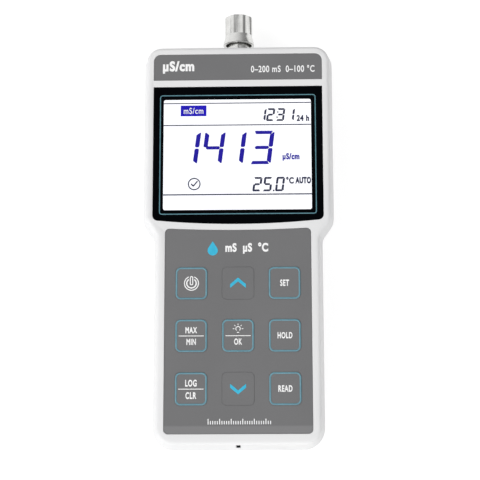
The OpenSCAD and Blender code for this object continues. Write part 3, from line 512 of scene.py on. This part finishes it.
def screw_tree():
    """Pan-head screws with a cross recess, each turned as the screwdriver left it. A head hangs down from
    its seat and the shank rises from it. The share of a radius or height that each part takes is set
    here."""
    lengths = ("head_radius", "head_height", "shank_radius", "shank_length", "recess")
    tree, given = sized_tree("pan_head_screws", lengths, ("seed",))
    head_radius, head_height = given["head_radius"], given["head_height"]
    head_middle = add(tree, "ShaderNodeMath", {0: head_height, 1: -0.5}, operation="MULTIPLY")
    head_middle = add(tree, "ShaderNodeCombineXYZ", {"Z": head_middle})
    blank_head = add(tree, "GeometryNodeMeshCylinder", {
        "Vertices": 48, "Radius": head_radius, "Depth": head_height})
    blank_head = add(tree, "GeometryNodeTransform", {"Geometry": blank_head, "Translation": head_middle})
    crown_radius = add(tree, "ShaderNodeMath", {0: head_radius, 1: 1.9}, operation="MULTIPLY")
    crown_middle = add(tree, "ShaderNodeMath", {0: crown_radius, 1: head_height}, operation="SUBTRACT")
    crown_middle = add(tree, "ShaderNodeCombineXYZ", {"Z": crown_middle})
    crown = add(tree, "GeometryNodeMeshUVSphere", {"Segments": 48, "Rings": 36, "Radius": crown_radius})
    crown = add(tree, "GeometryNodeTransform", {"Geometry": crown, "Translation": crown_middle})
    head = add(tree, "GeometryNodeMeshBoolean", {"Mesh 2": [blank_head.outputs[0], crown.outputs[0]]},
               operation="INTERSECT", solver="EXACT")
    arm = add(tree, "ShaderNodeMath", {0: head_radius, 1: 1.2}, operation="MULTIPLY")
    depth = add(tree, "ShaderNodeMath", {0: head_height, 1: 1.3}, operation="MULTIPLY")
    face = add(tree, "ShaderNodeMath", {0: head_height, 1: -1.0}, operation="MULTIPLY")
    face = add(tree, "ShaderNodeCombineXYZ", {"Z": face})
    wings = []
    for x, y in ((arm, given["recess"]), (given["recess"], arm)):
        wing = add(tree, "ShaderNodeCombineXYZ", {"X": x, "Y": y, "Z": depth})
        wing = add(tree, "GeometryNodeMeshCube", {"Size": wing})
        wings.append(add(tree, "GeometryNodeTransform", {"Geometry": wing, "Translation": face}).outputs[0])
    head = add(tree, "GeometryNodeMeshBoolean", {"Mesh 1": head, "Mesh 2": wings},
               operation="DIFFERENCE", solver="EXACT")
    shank_middle = add(tree, "ShaderNodeMath", {0: given["shank_length"], 1: 0.48}, operation="MULTIPLY")
    shank_middle = add(tree, "ShaderNodeCombineXYZ", {"Z": shank_middle})
    shank = add(tree, "GeometryNodeMeshCylinder", {
        "Vertices": 32, "Radius": given["shank_radius"], "Depth": given["shank_length"]})
    shank = add(tree, "GeometryNodeTransform", {"Geometry": shank, "Translation": shank_middle})
    screw = add(tree, "GeometryNodeJoinGeometry", {"Geometry": [head.outputs[0], shank.outputs[0]]})
    turn = add(tree, "FunctionNodeRandomValue", {2: 0.0, 3: math.pi / 2, "Seed": given["seed"]},
               data_type="FLOAT").outputs[1]
    turn = add(tree, "FunctionNodeAxisAngleToRotation", {"Axis": (0, 0, 1), "Angle": turn})
    placed = add(tree, "GeometryNodeInstanceOnPoints", {
        "Points": given["Geometry"], "Instance": screw, "Rotation": turn})
    plain = add(tree, "GeometryNodeRealizeInstances", {"Geometry": placed})
    plated = add(tree, "GeometryNodeSetMaterial", {"Geometry": plain, "Material": given["Material"]})
    add(tree, "NodeGroupOutput", {"Geometry": plated})
    return tree


def middle_of(values):
    """Halfway between the least and the greatest of some values."""
    values = list(values)
    return (min(values) + max(values)) / 2


def solid_middles(node):
    """Where each separate solid of a CAD node stands in X and Y, in millimetres."""
    joined = merged_copy(node)
    left = set(joined.verts)
    middles = []
    while left:
        solid = set()
        fresh = [next(iter(left))]
        while fresh:
            vert = fresh.pop()
            if vert not in solid:
                solid.add(vert)
                fresh += [edge.other_vert(vert) for edge in vert.link_edges]
        left -= solid
        middles.append([middle_of(v.co[axis] for v in solid) / MM for axis in (0, 1)])
    joined.free()
    return sorted(middles)


pan_head_screws = screw_tree()
for node, name, head_radius, head_height, shank_radius, recess, seed in (
    ("case_screws", "sunk_case_screws", 2.75, 2.0, 1.5, 0.75, 4),
    ("door_screws", "cover_screws", 2.2, 1.0, 1.25, 0.6, 9),
):
    low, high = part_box(node)
    seat = low.z / MM + head_height
    piece = grow(name, pan_head_screws, [(x, y, seat) for x, y in solid_middles(node)], zinc_steel,
                 head_radius=head_radius, head_height=head_height, shank_radius=shank_radius,
                 shank_length=high.z / MM - seat, recess=recess, seed=seed)
    smooth_by_angle(piece.data, 40)
    keep(piece, "case", zinc_steel, "screw_steel", node)


def key_middle(key):
    """Middle of a key in X and Y, in millimetres."""
    low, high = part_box("key_" + key)
    return (low.x + high.x) / 2 / MM, (low.y + high.y) / 2 / MM


def top_of(node):
    """Height of the top of a CAD node, in millimetres."""
    return round(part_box(node)[1].z / MM, 3)


FILM_Z = top_of("header_plate")
WINDOW_Z = top_of("window_pane")
OVERLAY_Z = top_of("keypad_overlay")
KEY_Z = top_of("key_power")

# Thickness of a layer of ink, the size of a key above its flange, the gap round it and the line on it
INK = 0.05
KEY_W = 13.9
KEY_L = 14.3
KEY_GAP = 0.15
LINE = 0.75

# A band of film closes the gap round each key. Its middle lies a little below the top of the overlay.
SKIN_PLAY = 0.03
SKIN_SINK = 0.09
rounded_bands = band_tree()
skin_places = [key_middle(key) + (OVERLAY_Z - SKIN_SINK,) for key in KEYS]
skin = grow("film_over_key_gaps", rounded_bands, skin_places, grey_film,
            width=KEY_W + KEY_GAP + SKIN_PLAY, length=KEY_L + KEY_GAP + SKIN_PLAY, corner=2.1,
            line=KEY_GAP - SKIN_PLAY, thickness=0.24)
keep(skin, "case", grey_film, "panel_plastic")

for key in KEYS:
    if key not in ("up", "down"):
        line = grow("outline_" + key, rounded_bands, [key_middle(key) + (KEY_Z + INK / 2,)], key_line_ink,
                    width=KEY_W - LINE, length=KEY_L - LINE, corner=2.0, line=LINE, thickness=INK)
        keep(line, key + "_key", key_line_ink, "panel_plastic")


# Printed work: thin raised layers of ink and of lit segments

def prism(name, loops, z, thickness=INK):
    """Slab that stands on the height z. A loop is a list of points, or a pair of them for a band."""
    made = bmesh.new()
    for loop in loops:
        band = isinstance(loop[0][0], (list, tuple))
        walls = [[[made.verts.new(to_metres(x, y, level)) for x, y in outline]
                  for level in (z, z + thickness)]
                 for outline in (loop if band else (loop,))]
        count = len(walls[0][0])
        follows = [(i, (i + 1) % count) for i in range(count)]
        for low, high in walls:
            for i, j in follows:
                made.faces.new((low[i], low[j], high[j], high[i]))
        for level in (0, 1):
            outer, inner = walls[0][level], walls[-1][level]
            if band:
                for i, j in follows:
                    made.faces.new((outer[i], outer[j], inner[j], inner[i]))
            else:
                made.faces.new(outer)
    bmesh.ops.recalc_face_normals(made, faces=made.faces)
    return piece_of(name, made)


def arc(cx, cy, r, start, end, steps):
    """Points on a circle, from one angle to another in degrees."""
    angles = [math.radians(start + (end - start) * i / steps) for i in range(steps + 1)]
    return [(cx + r * math.cos(a), cy + r * math.sin(a)) for a in angles]


def rounded_outline(x0, y0, x1, y1, r, steps=6):
    """Rectangle with round corners, anticlockwise."""
    corners = ((x1 - r, y1 - r, 0), (x0 + r, y1 - r, 90), (x0 + r, y0 + r, 180), (x1 - r, y0 + r, 270))
    return [point for cx, cy, start in corners for point in arc(cx, cy, r, start, start + 90, steps)]


def rounded_band(x0, y0, x1, y1, r, width):
    """Line of a given width just inside a rectangle with round corners."""
    inner = rounded_outline(x0 + width, y0 + width, x1 - width, y1 - width, r - width)
    return (rounded_outline(x0, y0, x1, y1, r), inner)


def ring_band(cx, cy, r, width, start=0, end=360, steps=40):
    """Closed ring, or an open arc as one outline."""
    outer = arc(cx, cy, r, start, end, steps)
    inner = arc(cx, cy, r - width, start, end, steps)
    if end - start >= 360:
        return (outer[:-1], inner[:-1])
    return outer + inner[::-1]


def bar(x0, y0, x1, y1, width):
    """Straight stroke with square ends."""
    run = Vector((x1 - x0, y1 - y0))
    side = Vector((-run.y, run.x)).normalized() * width / 2
    ends = [Vector((x0, y0)), Vector((x1, y1))]
    return [tuple(p) for p in (ends[0] + side, ends[0] - side, ends[1] - side, ends[1] + side)]


def chevron(cx, cy, half_w, rise, width):
    """V-shaped stroke, pointing up when rise is positive."""
    thick = width / 2 / math.cos(math.atan2(abs(rise), half_w))
    tip = cy + rise / 2
    foot = cy - rise / 2
    return [(cx - half_w, foot + thick), (cx, tip + thick), (cx + half_w, foot + thick),
            (cx + half_w, foot - thick), (cx, tip - thick), (cx - half_w, foot - thick)]


def droplet(cx, foot, radius, height):
    """Outline of a drop of water whose lowest point is at cx, foot."""
    spread = math.degrees(math.acos(radius / (height - radius)))
    return [(cx, foot + height)] + arc(cx, foot + radius, radius, 90 + spread, 450 - spread, 24)


# The strokes of a display figure go by the usual letters, a at the top, clockwise to f, and g in the middle
STROKES = {"0": "abcdef", "1": "bc", "2": "abged", "3": "abgcd", "4": "fgbc", "5": "afgcd"}
# A figure leans to the right by this share of its height
LEAN = 0.128


def display_figure(figure, right, base, height, width, upright, level):
    """Outlines of a leaning seven-stroke figure whose lower right corner is at right, base. Upright and
    level are the widths of its strokes. They keep clear of each other, and their ends are cut on the
    slant."""
    half = height / 2
    gap = level * 0.2
    cut = upright * 0.22
    inside = width - upright
    top = [(gap, height), (width - upright * 0.4, height),
           (width - upright * 0.8, height - level), (level * 0.6, height - level)]
    side = [(width, half + gap + cut), (width, height - level * 0.55), (width - cut, height - level * 0.4),
            (inside, height - level - gap), (inside, half + gap + cut),
            (inside + cut, half + gap), (width - cut, half + gap)]
    high = half + level / 2
    low = half - level / 2
    middle = [(upright * 0.55, half), (upright * 0.9, high), (inside - gap, high),
              (width - upright * 0.8, half), (inside - gap, low), (upright * 0.9, low)]
    shapes = {
        "a": top,
        "b": side,
        "c": [(x, height - y) for x, y in side],
        "d": [(x, height - y) for x, y in top],
        "e": [(width - x, height - y) for x, y in side],
        "f": [(width - x, y) for x, y in side],
        "g": middle,
    }
    return [[(right - width + x + y * LEAN, base + y) for x, y in shapes[s]] for s in STROKES[figure]]


def display_number(places, base, height, width, upright, level):
    """Outlines of several figures on one line. A place is a figure and its right side."""
    return [shape for figure, right in places
            for shape in display_figure(figure, right, base, height, width, upright, level)]


def outward(start, end):
    """The way out of an outline across one of its edges. The inside is on the left."""
    run = (end - start).normalized()
    return Vector((run.y, -run.x))


def turns_round(point, edges):
    """How many times outlines go round a point."""
    turns = 0
    for a, b in edges:
        passes = (a.y > point.y) != (b.y > point.y)
        if passes and point.x < a.x + (b.x - a.x) * (point.y - a.y) / (b.y - a.y):
            turns += 1 if b.y > a.y else -1
    return turns


# Shares of the size of the built-in letters: the height of a capital, and how close corners are merged
CAPITAL_SHARE = 0.73
NEAR = 1e-4


def lettering(name, words, x, y, height, z, squeeze=0.8, weight=0.0, spacing=1.0):
    """Words cut as a closed slab, their middle at x, y, with capitals height millimetres tall. Weight is
    added to each side of the strokes, and is a share of the letters' size."""
    curve = bpy.data.curves.new(name, "FONT")
    curve.body = words
    curve.space_character = spacing
    curve.fill_mode = "NONE"
    text = piece_from(name, curve)
    wire = bpy.data.meshes.new_from_object(text.evaluated_get(bpy.context.evaluated_depsgraph_get()))
    bpy.data.objects.remove(text)
    thin = [v.co.xy for v in wire.vertices]
    follows = dict(tuple(edge.vertices) for edge in wire.edges)
    thick = list(thin)
    for before, at in follows.items():
        # Each corner moves out along its mitre, by no more than twice the weight
        first = outward(thin[before], thin[at])
        second = outward(thin[at], thin[follows[at]])
        thick[at] = thin[at] + (first + second) * weight / max(1 + first.dot(second), 0.5)
    corners, _, triangles = delaunay_2d_cdt(thick, list(follows.items()), [], 0, NEAR)[:3]
    outlines = [(thick[i], thick[j]) for i, j in follows.items()]
    centres = [sum((corners[i] for i in t), Vector((0, 0))) / 3 for t in triangles]
    inside = [t for t, centre in zip(triangles, centres) if turns_round(centre, outlines) > 0]
    used = sorted({i for t in inside for i in t})
    size = height / CAPITAL_SHARE
    middle = Vector([middle_of(corners[i][axis] for i in used) for axis in (0, 1)])
    made = bmesh.new()
    low, high = {}, {}
    for i in used:
        across, up = (corners[i] - middle) * size
        low[i] = made.verts.new(to_metres(x + across * squeeze, y + up, z))
        high[i] = made.verts.new(to_metres(x + across * squeeze, y + up, z + INK))
    for t in inside:
        made.faces.new([high[i] for i in t])
        made.faces.new([low[i] for i in reversed(t)])
    sides = {pair for t in inside for pair in zip(t, t[1:] + t[:1])}
    for i, j in sorted(sides):
        if (j, i) not in sides:
            made.faces.new((low[i], low[j], high[j], high[i]))
    return piece_of(name, made)


def join(name, parts):
    """Makes one piece of several."""
    made = bmesh.new()
    for part in parts:
        made.from_mesh(part.data)
        bpy.data.objects.remove(part)
    return piece_of(name, made)


# Black block in the slot of the foot wall: painted shade, a dark fill standing in for the shadow deep in the
# slot
SLOT_SHADE_W = 1.5
SLOT_SHADE_L = 4.0
SLOT_SHADE_DEPTH = 1.5
SLOT_SHADE_PLACE = to_metres(0, -90.85, 26.5)
slot_shade_outline = rounded_outline(-SLOT_SHADE_W / 2, -SLOT_SHADE_L / 2, SLOT_SHADE_W / 2, SLOT_SHADE_L / 2, 0.4)
slot_shade = prism("foot_slot_painted_shade", [slot_shade_outline], 0, SLOT_SHADE_DEPTH)
slot_shade.data.transform(Matrix.Translation(SLOT_SHADE_PLACE) @ Matrix.Rotation(math.radians(-90), 4, "X"))
keep(slot_shade, "case", black_rubber, "black_rubber")

# Display, seen through the window
LEFT = -33.45
RIGHT = 32.95
FOOT = 13.9
HEAD = 65.1
SEGMENT_Z = WINDOW_Z + INK

area = prism("display_area", [rounded_outline(LEFT, FOOT, RIGHT, HEAD, 0.9)], WINDOW_Z)
keep(area, "case", display_white, "white_acrylic")
window_line = prism("window_line", [rounded_band(-35.2, 11.85, 35.1, 67.35, 1.3, 0.43)], WINDOW_Z)
keep(window_line, "case", window_line_ink, "window_acrylic")

large_places = (("1", -18.4), ("4", -7.35), ("1", 2.15), ("3", 14.65))
large = display_number(large_places, base=34.75, height=15.5, width=9.2, upright=1.95, level=1.5)
keep(prism("main_figures", large, SEGMENT_Z), "case", segment_blue, "window_acrylic")

box = prism("mode_box", [rounded_outline(-25.8, 57.4, -14.2, 62.4, 0.15, 2)], SEGMENT_Z)
keep(box, "case", box_blue, "window_acrylic")

clock_places = (("1", 12.3), ("2", 16.2), ("3", 20.7), ("1", 25.1))
clock = display_number(clock_places, base=54.8, height=6.0, width=3.5, upright=0.9, level=0.85)
DOT = 0.6
clock += [rounded_outline(x, y, x + DOT, y + DOT, 0.1, 2) for x, y in ((17.4, 56.3), (17.7, 58.7))]
warmth_places = (("2", 10.2), ("5", 14.8), ("0", 20.3))
warmth = display_number(warmth_places, base=22.2, height=6.6, width=3.8, upright=0.95, level=0.88)
warmth.append(rounded_outline(15.6, 22.2, 16.3, 22.9, 0.1, 2))
rule_lines = ((63.4, 0.42), (53.1, 0.45), (20.9, 0.55))
rules = [bar(LEFT + 0.05, y, RIGHT - 0.05, y, width) for y, width in rule_lines]
ready_sign = [ring_band(-19.55, 25.8, 2.85, 0.5),
              bar(-20.9, 25.9, -19.9, 24.8, 0.55),
              bar(-20.0, 24.8, -18.1, 27.1, 0.55)]
small = prism("small_figures", clock + warmth + rules + ready_sign, SEGMENT_Z)
keep(small, "case", segment_grey, "window_acrylic")

unit_word = lettering("unit_word", "µS/cm", 23.8, 38.0, 2.7, SEGMENT_Z,
                      squeeze=0.76, weight=0.05, spacing=1.12)
keep(unit_word, "case", segment_blue, "window_acrylic")
keep(join("display_words", [
    lettering("degree_word", "°C", 23.25, 27.2, 2.8, SEGMENT_Z, squeeze=0.78, weight=0.045, spacing=1.1),
    lettering("auto_word", "AUTO", 29.15, 27.2, 2.75, SEGMENT_Z, squeeze=0.6, weight=0.06, spacing=1.14),
    lettering("clock_word", "24 h", 29.3, 56.1, 2.7, SEGMENT_Z, squeeze=0.78, weight=0.045, spacing=1.12),
]), "case", segment_grey, "window_acrylic")
box_word = lettering("box_word", "mS/cm", -20.0, 59.9, 2.9, SEGMENT_Z + INK,
                     squeeze=0.78, weight=0.012, spacing=1.12)
keep(box_word, "case", white_ink, "window_acrylic")

# Header
keep(join("header_words", [
    lettering("header_unit", "µS/cm", -26.9, 80.6, 4.5, FILM_Z, squeeze=0.86, weight=0.05, spacing=1.12),
    lettering("header_range", "0–200 mS  0–100 °C", 20.4, 79.5, 3.1, FILM_Z,
              squeeze=0.72, weight=0.02, spacing=1.12),
]), "case", white_ink, "header_film")

# Keypad: a drop of water and the units above the keys, a plain scale below them
MARKS_Y = -81.3
drop = prism("water_drop", [droplet(-11.2, -6.8, 2.25, 6.4)], OVERLAY_Z)
keep(drop, "case", cyan_ink, "panel_plastic")
scale_marks = [bar(x, MARKS_Y, x, MARKS_Y + (2.4 if (x + 13) % 5 == 0 else 1.5), 0.4)
               for x in range(-13, 15)]
keep(join("keypad_words", [
    lettering("keypad_units", "mS  µS  °C", 3.9, -3.6, 3.7, OVERLAY_Z,
              squeeze=0.78, weight=0.045, spacing=1.08),
    prism("scale_marks", scale_marks, OVERLAY_Z),
]), "case", white_ink, "panel_plastic")

# Keys. A line of a legend is its words, their place above the middle of the key and the capitals' height
for key, rise in (("up", 2.9), ("down", -2.9)):
    cx, cy = key_middle(key)
    mark = prism("mark_" + key, [chevron(cx, cy + rise * 0.05, 3.45, rise, 1.3)], KEY_Z)
    keep(mark, key + "_key", cyan_ink, "panel_plastic")

legends = {
    "set": [("SET", 0, 2.75)],
    "mode": [("MAX", 2.45, 2.65), ("MIN", -2.7, 2.65)],
    "enter": [("OK", -2.7, 2.65)],
    "unit": [("HOLD", 0, 2.65)],
    "memory": [("LOG", 2.5, 2.85), ("CLR", -2.9, 2.85)],
    "measure": [("READ", 0, 2.75)],
}


def lamp_sign(cx, cy):
    """Outlines of a bulb with five rays, its middle at cx, cy."""
    bulb = [ring_band(cx, cy, 1.15, 0.35, -50, 230, 20), bar(cx - 0.5, cy - 1.65, cx + 0.5, cy - 1.65, 0.35)]
    starts = arc(cx, cy, 1.6, 0, 180, 4)
    ends = arc(cx, cy, 2.3, 0, 180, 4)
    return bulb + [bar(*start, *end, 0.3) for start, end in zip(starts, ends)]


for key, lines in legends.items():
    cx, cy = key_middle(key)
    parts = [lettering(f"{key}_line_{i}", words, cx, cy + above, height, KEY_Z,
                       squeeze=0.6, weight=0.037, spacing=1.16)
             for i, (words, above, height) in enumerate(lines)]
    if key in ("mode", "enter", "memory"):
        parts.append(prism(key + "_rule", [bar(cx - 5.5, cy - 0.1, cx + 5.5, cy - 0.1, 0.34)], KEY_Z))
    if key == "enter":
        parts.append(prism("lamp_sign", lamp_sign(cx, cy + 3.0), KEY_Z))
    keep(join("legend_" + key, parts), key + "_key", white_ink, "panel_plastic")

cx, cy = key_middle("power")
power_sign = [ring_band(cx, cy, 3.3, 0.42, 113, 427),
              ring_band(cx, cy, 2.35, 0.55, 125, 415),
              rounded_band(cx - 0.75, cy - 0.9, cx + 0.75, cy + 3.2, 0.7, 0.42)]
keep(prism("legend_power", power_sign, KEY_Z), "power_key", white_ink, "panel_plastic")


# Studio: white paper, a wide lamp on the left and a weaker one on the right
def lamp(name, x, y, z, width, power):
    """Square lamp, in metres, that faces the middle of the case."""
    data = bpy.data.lights.new(name, "AREA")
    data.size = width
    data.energy = power
    made = bpy.data.objects.new(name, data)
    made.location = (x, y, z)
    made.rotation_euler = (-Vector((x, y, z))).to_track_quat("-Z", "Y").to_euler()
    scene.collection.objects.link(made)


lamp("left_softbox", -0.95, -0.4, 1.15, width=1.3, power=9.5)
lamp("right_softbox", 1.15, -0.65, 0.9, width=1.0, power=6)

def ways_seen(tree):
    """Two outputs: one is 1 for rays from the camera, the other also for those off polished faces and
    through glass."""
    rays = add(tree, "ShaderNodeLightPath").outputs
    from_camera = rays["Is Camera Ray"]
    seen = add(tree, "ShaderNodeMath", {0: from_camera, 1: rays["Is Glossy Ray"]}, operation="MAXIMUM")
    seen = add(tree, "ShaderNodeMath", {0: seen, 1: rays["Is Transmission Ray"]}, operation="MAXIMUM")
    return from_camera, seen.outputs[0]


# The room lights the case from the left and the foot, and is dark overhead, where the photographer stands.
# The background is white. Above it, polished pieces see a strip that dims to the right, with a dark card
# overhead.
WHITE = (1, 1, 1, 1)
# The middle of the window mirrors what lies this way
OVERHEAD = (-0.028, 0.267, 0.963)
soft = {"interpolation_type": "SMOOTHSTEP"}
world = bpy.data.worlds.new("studio_room")
scene.world = world
world.use_nodes = True
room = world.node_tree
room.nodes.clear()
way = add(room, "ShaderNodeTexCoord").outputs["Generated"]
sides = add(room, "ShaderNodeSeparateXYZ", {"Vector": way}).outputs
overhead = add(room, "ShaderNodeVectorMath", {0: way, 1: OVERHEAD}, operation="DOT_PRODUCT").outputs["Value"]

from_left = add(room, "ShaderNodeMapRange", {
    "Value": sides["X"], "From Min": -0.5, "From Max": 0.45, "To Min": 1.0, "To Max": 0.35}, **soft)
from_foot = add(room, "ShaderNodeMapRange", {
    "Value": sides["Y"], "From Min": -0.8, "From Max": -0.2, "To Min": 0.6, "To Max": 0.0}, **soft)
dark_above = add(room, "ShaderNodeMapRange", {
    "Value": overhead, "From Min": 0.84, "From Max": 0.96, "To Min": 1.0, "To Max": 0.12}, **soft)
level = add(room, "ShaderNodeMath", {0: from_left, 1: from_foot}, operation="ADD")
level = add(room, "ShaderNodeMath", {0: level, 1: dark_above}, operation="MULTIPLY")
lit_room = add(room, "ShaderNodeBackground", {"Color": WHITE, "Strength": level})

off_strip = add(room, "ShaderNodeMath", {0: sides["Y"], 1: 0.45}, operation="SUBTRACT")
off_strip = add(room, "ShaderNodeMath", {0: off_strip}, operation="ABSOLUTE")
along_strip = add(room, "ShaderNodeMapRange", {
    "Value": sides["X"], "From Min": -0.55, "From Max": 0.85, "To Min": 1.0, "To Max": 0.25}, **soft)
across_strip = add(room, "ShaderNodeMapRange", {
    "Value": off_strip, "From Min": 0.35, "From Max": 0.5, "To Min": 1.0, "To Max": 0.4}, **soft)
dark_card = add(room, "ShaderNodeMapRange", {
    "Value": overhead, "From Min": 0.988, "From Max": 0.9955, "To Min": 1.0, "To Max": 0.1}, **soft)
level = add(room, "ShaderNodeMath", {0: along_strip, 1: across_strip}, operation="MULTIPLY")
level = add(room, "ShaderNodeMath", {0: level, 1: dark_card}, operation="MULTIPLY")
level = add(room, "ShaderNodeMapRange", {
    "Value": sides["Z"], "From Min": 0.1, "From Max": 0.2, "To Min": 1.0, "To Max": level}, **soft)
from_camera, seen = ways_seen(room)
level = add(room, "ShaderNodeMath", {0: level, 1: from_camera}, operation="MAXIMUM")
backdrop = add(room, "ShaderNodeBackground", {"Color": WHITE, "Strength": level})
mixed = add(room, "ShaderNodeMixShader", {0: seen, 1: lit_room, 2: backdrop})
add(room, "ShaderNodeOutputWorld", {"Surface": mixed})

# Floor, in metres, just under the back of the case
FLOOR_REACH = 4
FLOOR_Z = -0.0002
floor_corners = [(x * FLOOR_REACH, y * FLOOR_REACH, FLOOR_Z)
                 for x, y in ((-1, -1), (1, -1), (1, 1), (-1, 1))]
floor_mesh = bpy.data.meshes.new("studio_floor")
floor_mesh.from_pydata(floor_corners, [], [(0, 1, 2, 3)])
floor = piece_from("studio_floor", floor_mesh)
paper = bpy.data.materials.new("white_paper_roll")
paper.use_nodes = True
roll = paper.node_tree
roll.nodes.clear()
seen = ways_seen(roll)[1]
plain = add(roll, "ShaderNodeBsdfDiffuse", {"Color": linear("#e6e6e6")})
shade = add(roll, "ShaderNodeBsdfDiffuse", {"Color": linear("#9a9a9a")})
glow = add(roll, "ShaderNodeEmission", {"Color": WHITE, "Strength": 0.8})
bright = add(roll, "ShaderNodeAddShader", {0: shade, 1: glow})
mixed = add(roll, "ShaderNodeMixShader", {0: seen, 1: plain, 2: bright})
add(roll, "ShaderNodeOutputMaterial", {"Surface": mixed})
floor_mesh.materials.append(paper)
